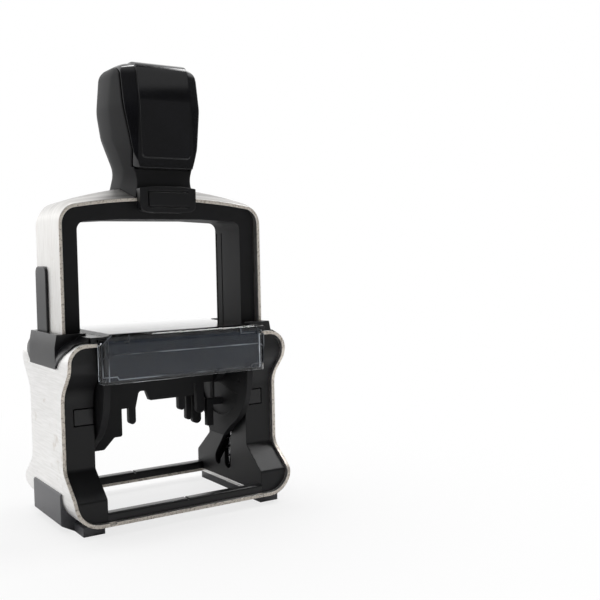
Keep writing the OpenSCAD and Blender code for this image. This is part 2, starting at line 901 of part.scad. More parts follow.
// Gloss cover over the grip's front and top, with a raised panel
module grip_cover() color("#0c0c0e") {
  difference() {
    intersection() {
      union() {
        grip_form(0);
        intersection() {
          grip_form(panel_proud);
          translate([0, 0, arch_top]) along_y(far) polygon(both_sides(panel_front));
        }
      }
      cover_space(0);
    }
    grip_form(-cover_t);
  }
}

// Clip that holds the grip on the bow, with a moulded snap tongue
module clip(end) {
  clip_top = arch_top + 3.8;
  clip_low = clip_top - clip_h;
  sag = 0.8;
  low_r = 2.5;
  top_r = 0.5;
  back = bow_half - bow_inset;
  front = bow_half + clip_proud;
  tongue_w = clip_w - 3;
  tongue_low = clip_low + 2;
  tongue_top = clip_top - 2.2;
  groove_w = 0.5;
  groove_d = 0.7;
  rotate([0, 0, end < 0 ? 0 : 180]) difference() {
    translate([0, -(front + back) / 2, 0]) along_y(front - back) polygon(both_sides([
      [clip_w / 2, clip_low + sag / 4, 0],
      [clip_w, clip_low + sag, low_r],
      [clip_w, clip_top - sag, top_r],
      [clip_w / 2, clip_top - sag / 4, 0]
    ]));
    block([-far, -bow_half, 0], [far, far, arch_top]);
    bow_form(-top_gap, 0, bow_d);
    rotate([0, 0, end < 0 ? 0 : 180]) grip_form(0);
    for (z = [tongue_low, tongue_top])
      block([-tongue_w, -front - over, z], [tongue_w, -front + groove_d, z + groove_w]);
    block([-tongue_w, -front - over, tongue_low],
          [-tongue_w + groove_w, -front + groove_d, tongue_top + groove_w]);
  }
}

module front_clip() color("#19191c") clip(-1);
module back_clip() color("#19191c") clip(1);

// Side outline of a cheek about its axle: a broad sector, a stem to the die's plate and a stop tab below
module cheek_outline() {
  half = die_w / 2;
  sector_top = 2.2;
  tab_r = cheek_r + 3;
  intersection() {
    circle(cheek_r);
    translate([-cheek_r, -cheek_r]) square([2 * cheek_r, cheek_r + sector_top]);
  }
  translate([-half, 0]) square([2 * half, carrier_top]);
  polygon(rounded([[-11, -19.2, 0], [-3, -tab_r, 2], [8, -tab_r, 2], [13, -18, 0]]));
}

// Pocket in the inner face of a cheek, under a slanting edge
module cheek_pocket() {
  slant = 11;
  slant_z = -5.2;
  intersection() {
    circle(cheek_r - cheek_rim);
    rotate(slant) translate([-far / 2, slant_z - far]) square([far, far]);
  }
}

// Prong that hangs under the carrier's plate, from its middle line, its lower end and its half width
module prong(x, low, half) {
  top = carrier_top - plate_t / 2;
  translate([x - half, low + half]) square([2 * half, top - low - half]);
  translate([x, low + half]) circle(half);
}

// Ribs under the die's plate, as a front outline about the axle: a gusset at the left, bars at the right
module web_outline() {
  gusset_low = -cheek_r - 2.6;
  gusset_in = 14;
  beam_low = -9;
  prong_x = 9.9;
  prong_half = 1.3;
  bar_x = 17.7;
  bar_half = 1.6;
  post_x = 20.5;
  post_w = 2.6;
  shelf_low = beam_low - 4.5;
  shelf_h = 2.5;
  rib_x = 23;
  rib_w = 0.8;
  lintel_low = beam_low / 2;
  post_low = 1 - cheek_r;
  mirror([1, 0]) polygon(rounded([
    [cheek_in + over, carrier_top - over, 0],
    [cheek_in + over, gusset_low, 0],
    [gusset_in + 7, gusset_low, 1],
    [gusset_in + 3, gusset_low + 4, 1],
    [gusset_in, gusset_low + 4, 0.8],
    [gusset_in, carrier_top - over, 0]
  ]));
  polygon(rounded([
    [-gusset_in - over, carrier_top - over, 0],
    [-gusset_in - over, beam_low - 2, 0],
    [-8.6, beam_low - 2, 0],
    [-7.2, beam_low + 3.8, 1.2],
    [-4.4, beam_low + 3.8, 1],
    [-3, beam_low, 0.8],
    [gusset_in + over, beam_low, 0],
    [gusset_in + over, carrier_top - over, 0]
  ]));
  prong(-prong_x, beam_low - 8, prong_half);
  prong(prong_x, beam_low - 5, prong_half);
  prong(bar_x, beam_low - 7, bar_half);
  translate([gusset_in, lintel_low]) square([cheek_in + over - gusset_in, carrier_top - over - lintel_low]);
  translate([post_x, post_low]) square([post_w, shelf_low + shelf_h - post_low]);
  translate([post_x, shelf_low]) square([cheek_in + over - post_x, shelf_h]);
  translate([rib_x, shelf_low]) square([rib_w, lintel_low + over - shelf_low]);
}

// Bars behind the ribs, at the right
module rear_outline() {
  low = 1.5 - cheek_r;
  prong(15.2, low + 1.8, 1.05);
  prong(18.6, low, 1.8);
}

module die_carrier() color("#202024") {
  boss_r = axle_r + 3;
  web_t = 2.4;
  rear_y = 5;
  pocket_d = 0.8;
  mark_y = -16.2;
  mark_z = -2.8;
  mark_r = 0.9;
  half = die_w / 2;
  translate([0, 0, axle_z]) difference() {
    union() {
      block([-cheek_in - over, -half, carrier_top - plate_t], [cheek_in + over, half, carrier_top]);
      along_y(web_t) web_outline();
      translate([0, rear_y, 0]) along_y(web_t) rear_outline();
      for (side = [-1, 1]) at_side(side) {
        difference() {
          translate([(cheek_in + cheek_out) / 2, 0, 0]) along_x(cheek_t) cheek_outline();
          translate([cheek_in, 0, 0]) along_x(2 * pocket_d) {
            cheek_pocket();
            translate([mark_y, mark_z]) rotate(90) circle(mark_r, $fn = 3);
          }
        }
        translate([cheek_in - boss_l, 0, 0]) rotate([0, 90, 0]) cylinder(r = boss_r, h = boss_l + cheek_t);
      }
    }
    for (side = [-1, 1]) at_side(side) {
      translate([cheek_in - axle_reach - 0.5, 0, 0]) rotate([0, 90, 0])
        cylinder(r = axle_r + axle_fit, h = far);
      translate([cheek_in + follower_floor, -follower_arm, 0]) rotate([0, 90, 0])
        cylinder(r = follower_r + press_fit, h = far);
    }
  }
}

module follower(side) {
  inner_end = cheek_in + follower_floor;
  at_side(side) translate([inner_end, -follower_arm, axle_z]) rotate([0, 90, 0])
    cylinder(r = follower_r, h = follower_end - inner_end);
}

module left_follower() color("silver") follower(-1);
module right_follower() color("silver") follower(1);

module die_plate() color("#4a4a50") {
  z = axle_z + carrier_top;
  block([-die_l / 2, -die_w / 2, z], [die_l / 2, die_w / 2, z + die_plate_t]);
}

// Rubber die with plain raised bars for its print
module rubber_die() color("#7a3c34") {
  edge = 0.5;
  half_l = die_l / 2 - edge;
  half_w = die_w / 2 - edge;
  z = axle_z + carrier_top + die_plate_t;
  print_l = die_l - 2 * print_margin;
  print_w = die_w - 2 * print_margin;
  pitch = print_w / print_bars;
  block([-half_l, -half_w, z], [half_l, half_w, z + die_sheet_t]);
  for (i = [0 : print_bars - 1]) {
    y = -print_w / 2 + (i + 0.25) * pitch;
    short = i % 2 == 0 ? 0 : print_l / 4;
    block([-print_l / 2, y, z + die_sheet_t],
          [print_l / 2 - short, y + pitch / 2, z + die_sheet_t + print_t]);
  }
}

// Ink cartridge: a tray that hangs on its runners, with a hollow finger pull at the back
module pad_tray() color("#17171a") {
  front = -panel_in + 1.3;
  back = panel_in - 0.3;
  rise = 0.4;
  runner_t = 1;
  runner_z = liner_top + tray_clear / 2;
  pull_half = 14;
  pull_back = -window_y;
  pull_z = pad_z + rise + tray_clear;
  pull_top = tray_top - tray_clear;
  pull_wall = 1.2;
  difference() {
    union() {
      block([-tray_half, front, pad_z + rise], [tray_half, back, tray_top]);
      block([-runner, front, runner_z], [runner, back, runner_z + runner_t]);
      block([-pull_half, back, pull_z], [pull_half, pull_back, pull_top]);
    }
    pad_space(0);
    block([-pull_half + pull_wall, back + pull_wall, pull_z - over],
          [pull_half - pull_wall, pull_back - pull_wall, pull_top - pull_wall]);
  }
}

// Space of the ink pad, drawn in by a gap
module pad_space(gap) {
  half_l = tray_half - tray_t - gap;
  half_w = die_w / 2 + pad_over - gap;
  block([-half_l, -half_w, pad_z], [half_l, half_w, pad_z + pad_t - gap]);
}

module ink_pad() color("#101014") pad_space(0.05);

base_shell();
left_liner();
right_liner();
front_rail();
back_rail();
left_shoulder();
right_shoulder();
pad_bridge();
card_panel();
rear_panel();
index_window();
index_card();
left_foot();
right_foot();
left_spring_post();
right_spring_post();
left_spring();
right_spring();
left_lock();
right_lock();
bow_band();
bow_liner();
left_strip();
right_strip();
left_axle_pin();
right_axle_pin();
grip_body();
grip_cover();
front_clip();
back_clip();
die_carrier();
left_follower();
right_follower();
die_plate();
rubber_die();
pad_tray();
ink_pad();
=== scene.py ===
import json
import math

import bmesh
import bpy
from mathutils import Matrix, Vector


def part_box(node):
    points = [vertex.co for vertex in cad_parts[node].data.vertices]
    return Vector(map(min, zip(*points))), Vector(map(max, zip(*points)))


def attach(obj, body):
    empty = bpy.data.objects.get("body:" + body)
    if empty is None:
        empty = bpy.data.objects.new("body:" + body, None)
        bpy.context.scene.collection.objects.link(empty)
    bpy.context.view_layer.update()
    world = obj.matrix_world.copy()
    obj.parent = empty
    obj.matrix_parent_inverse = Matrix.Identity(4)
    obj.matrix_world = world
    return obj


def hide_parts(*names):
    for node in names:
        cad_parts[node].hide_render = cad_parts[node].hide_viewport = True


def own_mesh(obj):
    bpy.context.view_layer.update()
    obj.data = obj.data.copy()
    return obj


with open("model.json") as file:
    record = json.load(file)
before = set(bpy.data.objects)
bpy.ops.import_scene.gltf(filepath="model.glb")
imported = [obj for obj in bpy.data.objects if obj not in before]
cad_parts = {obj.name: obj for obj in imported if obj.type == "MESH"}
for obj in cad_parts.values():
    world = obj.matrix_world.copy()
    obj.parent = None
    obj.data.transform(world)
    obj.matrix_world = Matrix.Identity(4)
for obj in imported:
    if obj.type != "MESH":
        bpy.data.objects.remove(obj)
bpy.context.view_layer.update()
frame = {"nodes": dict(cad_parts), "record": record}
NODES = frame["nodes"]
BODY_OF = {node: body for body, nodes in frame["record"]["behaviour"]["bodies"].items() for node in nodes}
SLOT_OF = {part["node"]: part["material_slot"] for part in frame["record"]["subparts"]}

MM = 0.001
WHITE = (1, 1, 1, 1)
EDGE_SAMPLES = 6
scene = bpy.context.scene


def linear(code):
    """A linear colour from an sRGB hex value."""
    parts = [int(code[start:start + 2], 16) / 255 for start in (1, 3, 5)]
    return (*[part / 12.92 if part <= 0.04045 else ((part + 0.055) / 1.055) ** 2.4 for part in parts], 1)


def add_node(tree, kind, values=None, links=None, stops=(), **settings):
    """Adds one node: settings are its properties, values its input sockets, links what feeds them,
    and stops the positions and colours of a colour ramp."""
    node = tree.nodes.new("ShaderNode" + kind)
    for name, value in settings.items():
        setattr(node, name, value)
    for socket, value in (values or {}).items():
        node.inputs[socket].default_value = value
    for socket, source in (links or {}).items():
        tree.links.new(source, node.inputs[socket])
    for number, (position, code) in enumerate(stops):
        node.color_ramp.elements[number].position = position
        node.color_ramp.elements[number].color = linear(code)
    return node


def new_finish(name, edge_mm=0.4, **shader):
    """An empty finish with its shader, and the place on the piece that patterns are laid out by.
    Light runs over the piece's edges as if they were rounded by edge_mm."""
    finish = bpy.data.materials.new(name)
    finish.use_nodes = True
    tree = finish.node_tree
    surface = tree.nodes["Principled BSDF"]
    for socket, value in shader.items():
        surface.inputs[socket.replace("_", " ")].default_value = value
    if edge_mm:
        edges = add_node(tree, "Bevel", {"Radius": edge_mm * MM}, samples=EDGE_SAMPLES)
        tree.links.new(edges.outputs["Normal"], surface.inputs["Normal"])
    place = add_node(tree, "TexCoord").outputs["Object"]
    return finish, tree, surface, place


def pattern_scale(size_mm):
    """Scale of a noise whose features are this many millimetres wide.
    Grain, fibres and lines that are too fine to show get a larger size than the real one."""
    return 1 / (size_mm * MM)


def relief(tree, surface, pattern, strength, depth_mm):
    """Lays a fine relief over the finish and its edges."""
    edges = surface.inputs["Normal"].links[0].from_socket
    bump = add_node(tree, "Bump", {"Strength": strength, "Distance": depth_mm * MM},
                    {"Height": pattern, "Normal": edges})
    tree.links.new(bump.outputs["Normal"], surface.inputs["Normal"])


def shade(tree, surface, pattern, dark, light, smooth, rough, low=0.35, high=0.65):
    """Colours the surface from dark to light as a pattern goes from low to high.
    The surface goes from smooth to rough over the pattern's whole range."""
    colour = add_node(tree, "ValToRGB", links={"Fac": pattern}, stops=((low, dark), (high, light)))
    gloss = add_node(tree, "MapRange", {"To Min": smooth, "To Max": rough}, {"Value": pattern})
    tree.links.new(colour.outputs["Color"], surface.inputs["Base Color"])
    tree.links.new(gloss.outputs["Result"], surface.inputs["Roughness"])


# Plastic or rubber from a spark-eroded mould: dark, with an even grain that scatters the light a little
def grained_moulding(name, dark, light, smooth, rough, depth_mm=0.04, ior=1.46, grain_mm=0.6, drift_mm=14):
    finish, tree, surface, place = new_finish(name, IOR=ior)
    grain = add_node(tree, "TexNoise", {"Scale": pattern_scale(grain_mm), "Detail": 2.0}, {"Vector": place})
    drift = add_node(tree, "TexNoise", {"Scale": pattern_scale(drift_mm), "Detail": 3.0}, {"Vector": place})
    relief(tree, surface, grain.outputs["Fac"], strength=0.35, depth_mm=depth_mm)
    shade(tree, surface, drift.outputs["Fac"], dark, light, smooth, rough)
    return finish


# Polished ABS: deep black with a near mirror gloss, a faint haze and hairline handling marks
def polished_abs(mark_mm=0.4, haze_mm=11, haze_rough=0.03):
    finish, tree, surface, place = new_finish("polished_black_abs", IOR=1.55)
    along = add_node(tree, "Mapping", {"Scale": (1, 0.2, 0.08)}, {"Vector": place}).outputs["Vector"]
    marks = add_node(tree, "TexNoise", {"Scale": pattern_scale(mark_mm), "Detail": 4.0}, {"Vector": along})
    haze = add_node(tree, "TexNoise", {"Scale": pattern_scale(haze_mm), "Detail": 2.0}, {"Vector": place})
    marked = add_node(tree, "MapRange", {"To Min": 0.05, "To Max": 0.12}, {"Value": marks.outputs["Fac"]})
    hazed = add_node(tree, "Math", {1: haze_rough}, {0: haze.outputs["Fac"], 2: marked.outputs["Result"]},
                     operation="MULTIPLY_ADD")
    colour = add_node(tree, "ValToRGB", links={"Fac": haze.outputs["Fac"]},
                      stops=((0.35, "#0E0E11"), (0.65, "#121216")))
    tree.links.new(colour.outputs["Color"], surface.inputs["Base Color"])
    tree.links.new(hazed.outputs["Value"], surface.inputs["Roughness"])
    return finish


# Nickel-plated sheet steel with a satin finish: bright, softly reflecting, with a drawn grain, warm rubs
# and dark specks. From a given height upwards it is painted grey in streaks, as painted reflection and shade
# of the dark grip
def plated_steel(name, grain_stretch, dark, light, grip_shade_from_mm=None, grip_shade_over_mm=6,
                 grain_mm=0.5, rub_mm=9, speck_mm=1.1, streak_mm=1.6):
    finish, tree, surface, place = new_finish(name, edge_mm=0.25, Metallic=1.0)
    along = add_node(tree, "Mapping", {"Scale": grain_stretch}, {"Vector": place}).outputs["Vector"]
    grain = add_node(tree, "TexNoise", {"Scale": pattern_scale(grain_mm), "Detail": 3.0}, {"Vector": along})
    bright = add_node(tree, "ValToRGB", links={"Fac": grain.outputs["Fac"]},
                      stops=((0.3, dark), (0.7, light)))
    satin = add_node(tree, "MapRange", {"To Min": 0.34, "To Max": 0.5}, {"Value": grain.outputs["Fac"]})
    rubs = add_node(tree, "TexNoise", {"Scale": pattern_scale(rub_mm), "Detail": 6.0, "Roughness": 0.7},
                    {"Vector": place})
    rubbed = add_node(tree, "MapRange", {"From Min": 0.6, "From Max": 0.72, "To Max": 0.6},
                      {"Value": rubs.outputs["Fac"]})
    colour = add_node(tree, "Mix", {"B": linear("#C9C0B4")},
                      {"Factor": rubbed.outputs["Result"], "A": bright.outputs["Color"]}, data_type="RGBA")
    # Painted reflection and shade of the dark grip: grey streaks that grow towards the top of the bow
    if grip_shade_from_mm:
        height = add_node(tree, "SeparateXYZ", links={"Vector": place}).outputs["Z"]
        start = grip_shade_from_mm * MM
        full = (grip_shade_from_mm + grip_shade_over_mm) * MM
        grip_shade = add_node(tree, "MapRange", {"From Min": start, "From Max": full, "To Max": 0.9},
                           {"Value": height})
        streaks = add_node(tree, "TexNoise", {"Scale": pattern_scale(streak_mm), "Detail": 4.0},
                           {"Vector": along})
        streaked = add_node(tree, "MapRange", {"To Min": 0.1, "To Max": 1.5},
                            {"Value": streaks.outputs["Fac"]})
        grip_shade_streaks = add_node(tree, "Math", links={0: grip_shade.outputs["Result"], 1: streaked.outputs["Result"]},
                          operation="MULTIPLY", use_clamp=True)
        colour = add_node(tree, "Mix", {"B": linear("#8B8987")},
                          {"Factor": grip_shade_streaks.outputs["Value"], "A": colour.outputs["Result"]},
                          data_type="RGBA")
    specks = add_node(tree, "TexNoise", {"Scale": pattern_scale(speck_mm), "Detail": 2.0},
                      {"Vector": place})
    specked = add_node(tree, "MapRange", {"From Min": 0.76, "From Max": 0.8},
                       {"Value": specks.outputs["Fac"]})
    colour = add_node(tree, "Mix", {"B": linear("#8F8578")},
                      {"Factor": specked.outputs["Result"], "A": colour.outputs["Result"]},
                      data_type="RGBA")
    relief(tree, surface, grain.outputs["Fac"], strength=0.12, depth_mm=0.02)
    tree.links.new(colour.outputs["Result"], surface.inputs["Base Color"])
    tree.links.new(satin.outputs["Result"], surface.inputs["Roughness"])
    return finish


# Sheared edge of the sheet: torn, warm steel that scatters the light, with dark nicks
def sheared_edge(nick_mm=0.9):
    finish, tree, surface, place = new_finish("sheared_steel_edge", edge_mm=0.25, Metallic=0.35)
    nicks = add_node(tree, "TexNoise", {"Scale": pattern_scale(nick_mm), "Detail": 4.0, "Roughness": 0.7},
                     {"Vector": place})
    shade(tree, surface, nicks.outputs["Fac"], "#A3978A", "#EDE5DA", smooth=0.35, rough=0.55,
          low=0.32, high=0.5)
    return finish


# Soft-touch lacquer over a moulding: dull, slightly furry at grazing light
def soft_touch(grain_mm=0.6, rub_mm=9):
    finish, tree, surface, place = new_finish("soft_touch_lacquer", edge_mm=0.6, IOR=1.38,
                                              Sheen_Weight=0.02, Sheen_Roughness=0.5)
    grain = add_node(tree, "TexNoise", {"Scale": pattern_scale(grain_mm), "Detail": 2.0}, {"Vector": place})
    rubs = add_node(tree, "TexNoise", {"Scale": pattern_scale(rub_mm), "Detail": 3.0}, {"Vector": place})
    relief(tree, surface, grain.outputs["Fac"], strength=0.4, depth_mm=0.05)
    shade(tree, surface, rubs.outputs["Fac"], "#111113", "#161618", smooth=0.56, rough=0.64)
    return finish


# Clear plastic: faintly smoky, and dulled against glare, so it mirrors less than polished acrylic
def clear_cover(haze_mm=5):
    finish, tree, surface, place = new_finish("clear_acrylic", edge_mm=0, IOR=1.4, Transmission_Weight=1.0)
    haze = add_node(tree, "TexNoise", {"Scale": pattern_scale(haze_mm), "Detail": 3.0}, {"Vector": place})
    shade(tree, surface, haze.outputs["Fac"], "#DCE2E8", "#EEF1F4", smooth=0.02, rough=0.05)
    return finish


# Moulded edges in the clear cover, painted pale in places as painted highlights where they catch the light
def moulded_lines(painted_gleam_mm=14):
    finish, tree, surface, place = new_finish("moulded_window_lines", edge_mm=0, IOR=1.49)
    painted_gleam = add_node(tree, "TexNoise", {"Scale": pattern_scale(painted_gleam_mm), "Detail": 3.0}, {"Vector": place})
    # The pale patches along the lines are painted highlights
    shade(tree, surface, painted_gleam.outputs["Fac"], "#2E3238", "#A9AFB6", smooth=0.2, rough=0.4,
          low=0.42, high=0.62)
    return finish


# Dark printed card: flat, with a faint fibre
def printed_card(fibre_mm=0.7):
    finish, tree, surface, place = new_finish("dark_printed_card", edge_mm=0, IOR=1.45,
                                              Specular_IOR_Level=0.15)
    along = add_node(tree, "Mapping", {"Scale": (0.3, 1, 1)}, {"Vector": place}).outputs["Vector"]
    fibre = add_node(tree, "TexNoise", {"Scale": pattern_scale(fibre_mm), "Detail": 4.0}, {"Vector": along})
    shade(tree, surface, fibre.outputs["Fac"], "#0E1826", "#121D2C", smooth=0.8, rough=0.9)
    return finish


# Steel of the pins and the spring wire: ground or drawn, with fine lines that the tool leaves
def drawn_steel(name, dark, light, smooth, rough, line_mm=0.25):
    finish, tree, surface, place = new_finish(name, Metallic=1.0)
    along = add_node(tree, "Mapping", {"Scale": (1, 0.15, 0.15)}, {"Vector": place}).outputs["Vector"]
    lines = add_node(tree, "TexNoise", {"Scale": pattern_scale(line_mm), "Detail": 3.0}, {"Vector": along})
    shade(tree, surface, lines.outputs["Fac"], dark, light, smooth, rough)
    return finish


# Laser-cut stamp rubber: dull brick red, dusty and slightly rough
def stamp_rubber(dust_mm=0.6):
    finish, tree, surface, place = new_finish("stamp_rubber", IOR=1.5)
    dust = add_node(tree, "TexNoise", {"Scale": pattern_scale(dust_mm), "Detail": 4.0}, {"Vector": place})
    relief(tree, surface, dust.outputs["Fac"], strength=0.3, depth_mm=0.03)
    shade(tree, surface, dust.outputs["Fac"], "#7E3A30", "#94483C", smooth=0.7, rough=0.85)
    return finish


# Felt soaked with black ink: fibrous and wet in places
def inked_felt(fibre_mm=0.35):
    finish, tree, surface, place = new_finish("inked_felt", IOR=1.45, Sheen_Weight=0.1)
    fibre = add_node(tree, "TexNoise", {"Scale": pattern_scale(fibre_mm), "Detail": 5.0}, {"Vector": place})
    relief(tree, surface, fibre.outputs["Fac"], strength=0.5, depth_mm=0.1)
    shade(tree, surface, fibre.outputs["Fac"], "#08080C", "#16161C", smooth=0.45, rough=0.8)
    return finish


# The steel's grain is drawn out front to back on the base, and along the band on the bow
BASE_GRAIN = (1, 0.06, 1)
BOW_GRAIN = (0.06, 1, 0.06)
FINISHES = {
    "base_steel": plated_steel("plated_base_steel", BASE_GRAIN, "#EDECEA", "#FAF9F8"),
    # The bow's steel is painted grey near the grip, as painted reflection and shade of the grip
    "bow_steel": plated_steel("plated_bow_steel", BOW_GRAIN, "#DCDAD7", "#EDECEA", grip_shade_from_mm=106),
    "moulded_black": grained_moulding("moulded_black_abs", "#0E0E10", "#131316", smooth=0.26, rough=0.36),
    "gloss_black": polished_abs(),
    "soft_touch": soft_touch(),
    "clear_cover": clear_cover(),
    "dark_card": printed_card(),
    "foot_rubber": grained_moulding("moulded_foot_rubber", "#3A3A3E", "#46464A", smooth=0.3, rough=0.4,
                                    ior=1.58),
    "pin_steel": drawn_steel("ground_pin_steel", "#A9A9AB", "#C6C6C8", smooth=0.18, rough=0.3),
    # The spring wire and posts are blackened steel, kept this dark also as painted shade where the wire
    # shows through the slots
    "spring_steel": drawn_steel("blackened_spring_wire", "#1E1E20", "#2C2C2F", smooth=0.3, rough=0.45),
    "die_rubber": stamp_rubber(),
    "ink_felt": inked_felt(),
}
EDGE_FINISH = sheared_edge()
# The bow's inner arch and the die carrier are duller than the other mouldings, with a deeper grain,
# and the pillars lie between
DULL_ABS = grained_moulding("grained_black_abs", "#0E0E10", "#131316", smooth=0.58, rough=0.68,
                            depth_mm=0.05, ior=1.42)
PILLAR_ABS = grained_moulding("eroded_black_abs", "#0C0C0E", "#111114", smooth=0.38, rough=0.48,
                              depth_mm=0.05, ior=1.42)
OWN_FINISH = {"bow_liner": DULL_ABS, "die_carrier": DULL_ABS,
              "left_liner": PILLAR_ABS, "right_liner": PILLAR_ABS}


def dress(piece, node):
    """Puts a new piece in a solid's place, on its body and with its finish."""
    scene.collection.objects.link(piece)
    piece.data.materials.append(OWN_FINISH.get(node, FINISHES[SLOT_OF[node]]))
    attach(piece, BODY_OF[node])
    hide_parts(node)
    return piece


def mesh_of(shape, name, smooth=False):
    """A mesh of a finished shape, without the normals that a solid's mesh brings along."""
    for face in shape.faces:
        face.smooth = smooth
    mesh = bpy.data.meshes.new(name)
    shape.to_mesh(mesh)
    shape.free()
    if "custom_normal" in mesh.attributes:
        mesh.attributes.remove(mesh.attributes["custom_normal"])
    return mesh


# Rounding of each piece's edges, in millimetres
EDGE_ROUND = {
    "base_shell": 0.25, "bow_band": 0.25,
    "left_liner": 0.6, "right_liner": 0.6, "front_rail": 0.2, "back_rail": 0.2,
    "left_shoulder": 0.4, "right_shoulder": 0.4, "pad_bridge": 0.25,
    "card_panel": 0.2, "rear_panel": 0.2, "index_window": 0.2, "index_card": 0.05,
    "left_foot": 0.5, "right_foot": 0.5, "left_lock": 0.2, "right_lock": 0.2,
    "bow_liner": 0.15, "left_strip": 0.4, "right_strip": 0.4,
    "front_clip": 0.2, "back_clip": 0.2, "die_carrier": 0.1, "grip_body": 0.3, "grip_cover": 0.25,
    "die_plate": 0.15, "rubber_die": 0.12, "pad_tray": 0.15,
}
# Pieces plain enough to be rounded in full; on the others the tightest corner sets the rounding
PLAIN = ("bow_band", "pad_bridge", "card_panel", "rear_panel", "index_card", "left_lock", "right_lock",
         "left_strip", "right_strip", "bow_liner", "back_clip", "die_carrier", "die_plate", "rubber_die",
         "pad_tray")
# Pieces with holes in large faces, which keep their triangles
HOLED = ("base_shell", "index_window")
ROUND_STEPS = 3
# Corners nearer than MERGE are one, faces that turn less than FLAT are one, and edges that turn more than
# CREASE are rounded
MERGE = 0.0005 * MM
FLAT = math.radians(0.5)
CREASE = math.radians(28)


def rounded_copy(node, edge_mm):
    """A copy of a solid with its edges rounded as the tool that made the piece leaves them."""
    shape = bmesh.new()
    shape.from_mesh(NODES[node].data)
    bmesh.ops.remove_doubles(shape, verts=shape.verts, dist=MERGE)
    if node not in HOLED:
        bmesh.ops.dissolve_limit(shape, angle_limit=FLAT, verts=shape.verts, edges=shape.edges)
    for face in shape.faces:
        face.material_index = 0
    mesh = mesh_of(shape, node + "_rounded", smooth=True)
    mesh.set_sharp_from_angle(angle=CREASE)
    piece = dress(bpy.data.objects.new(mesh.name, mesh), node)
    bevel = piece.modifiers.new("edge_round", "BEVEL")
    bevel.width = edge_mm * MM
    bevel.segments = ROUND_STEPS
    bevel.limit_method = "ANGLE"
    bevel.angle_limit = CREASE
    bevel.harden_normals = True
    bevel.use_clamp_overlap = node not in PLAIN
    bevel.loop_slide = node not in PLAIN
    return piece


pieces = {node: rounded_copy(node, edge_mm) for node, edge_mm in EDGE_ROUND.items()}

# The sheared edges of the sheet are the faces that look to the front or the back by more than this share
SHEARED = 0.6
for node in ("base_shell", "bow_band"):
    sheet = pieces[node].data
    sheet.materials.append(EDGE_FINISH)
    for face in sheet.polygons:
        face.material_index = int(abs(face.normal.y) > SHEARED)

# Moulded lines inside the window, from point to point, across and up, in millimetres, for the right half
POCKET_LINES = [
    # Upright along the card's end
    [(28.4, 51), (28.4, 64.6)],
    # Side catch
    [(28.4, 59.6), (30.5, 58.3), (30.4, 52.4)],
    # Ledge along the card's foot
    [(30.4, 52.3), (25.7, 52.3), (25, 51.3), (0, 51.3)],
    # Line across the card
    [(28.4, 59.5), (0, 59.5)],
    # Cut corner of the window
    [(27.2, 66), (30.6, 62.7), (30.7, 58.3)],
    # Upper catch
    [(26.6, 63.5), (21.2, 63.5), (21.2, 65.7)],
]
RIB_WIDTH = 0.3 * MM
RIB_DEPTH = 0.35 * MM
RIB_TO_CARD = 0.05 * MM


def window_ribs():
    """The moulded lines as fine bars just in front of the card, on both halves."""
    rib_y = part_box("index_card")[0].y - RIB_TO_CARD - RIB_DEPTH / 2
    shape = bmesh.new()
    for side in (-1, 1):
        for line in POCKET_LINES:
            corners = [Vector((side * across, 0, up)) * MM for across, up in line]
            for start, end in zip(corners, corners[1:]):
                run = end - start
                middle = start + run / 2
                middle.y = rib_y
                turn = run.to_track_quat("X", "Z").to_matrix().to_4x4()
                size = Matrix.Diagonal((run.length + RIB_WIDTH, RIB_DEPTH, RIB_WIDTH, 1))
                bmesh.ops.create_cube(shape, size=1, matrix=Matrix.Translation(middle) @ turn @ size)
    ribs = bpy.data.objects.new("window_ribs", mesh_of(shape, "window_ribs"))
    scene.collection.objects.link(ribs)
    ribs.data.materials.append(moulded_lines())
    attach(ribs, BODY_OF["index_window"])


window_ribs()

# Pins and posts keep their solids
for node in ("left_axle_pin", "right_axle_pin", "left_follower", "right_follower",
             "left_spring_post", "right_spring_post"):
    NODES[node].data.materials.clear()
    NODES[node].data.materials.append(FINISHES[SLOT_OF[node]])

PAD_EDGE = 0.5 * MM


def ink_pad():
    """The pad as a felt block with soft edges."""
    low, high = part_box("ink_pad")
    block = Matrix.Translation((low + high) / 2) @ Matrix.Diagonal((*(high - low), 1))
    shape = bmesh.new()
    bmesh.ops.create_cube(shape, size=1, matrix=block)
    bmesh.ops.bevel(shape, geom=shape.edges[:], offset=PAD_EDGE, segments=ROUND_STEPS, profile=0.5,
                    affect="EDGES", material=-1)
    felt = mesh_of(shape, "ink_pad_felt", smooth=True)
    pad = dress(bpy.data.objects.new(felt.name, felt), "ink_pad")


ink_pad()

# Return springs: the coil's radius is to the middle of the wire
SPRING_TURNS = 20
STEPS_PER_TURN = 24
WIRE_SIDES = 12
COIL_RADIUS = 2.1 * MM


def return_spring(node):
    """A spring whose wire winds round its post."""
    low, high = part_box(node)
    wire = (high.x - low.x) / 2 - COIL_RADIUS
    middle = Vector(((low.x + high.x) / 2, (low.y + high.y) / 2, low.z + wire))
    start = middle + Vector((COIL_RADIUS, 0, 0))
    section = Matrix.Translation(start) @ Matrix.Rotation(math.pi / 2, 4, "X")
    steps = SPRING_TURNS * STEPS_PER_TURN
    rise = (high.z - low.z - 2 * wire) / steps
    shape = bmesh.new()
    bmesh.ops.create_circle(shape, segments=WIRE_SIDES, radius=wire, matrix=section)
    bmesh.ops.spin(shape, geom=shape.verts[:] + shape.edges[:], cent=middle, axis=(0, 0, 1),
                   dvec=(0, 0, rise), angle=2 * math.pi * SPRING_TURNS, steps=steps)
    bmesh.ops.holes_fill(shape, edges=shape.edges)
    bmesh.ops.recalc_face_normals(shape, faces=shape.faces)
    coil = mesh_of(shape, node + "_wire", smooth=True)
    spring = dress(bpy.data.objects.new(coil.name, coil), node)
    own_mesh(spring)


return_spring("left_spring")
return_spring("right_spring")

# The eye sees the floor as white, apart from a shadow that fades out between two distances from its middle
FLOOR_HALF = 6
FLOOR_DROP = 0.05 * MM
SHADOW_FROM = 50 * MM
SHADOW_TO = 220 * MM
SHADOW_WHITE = 0.75


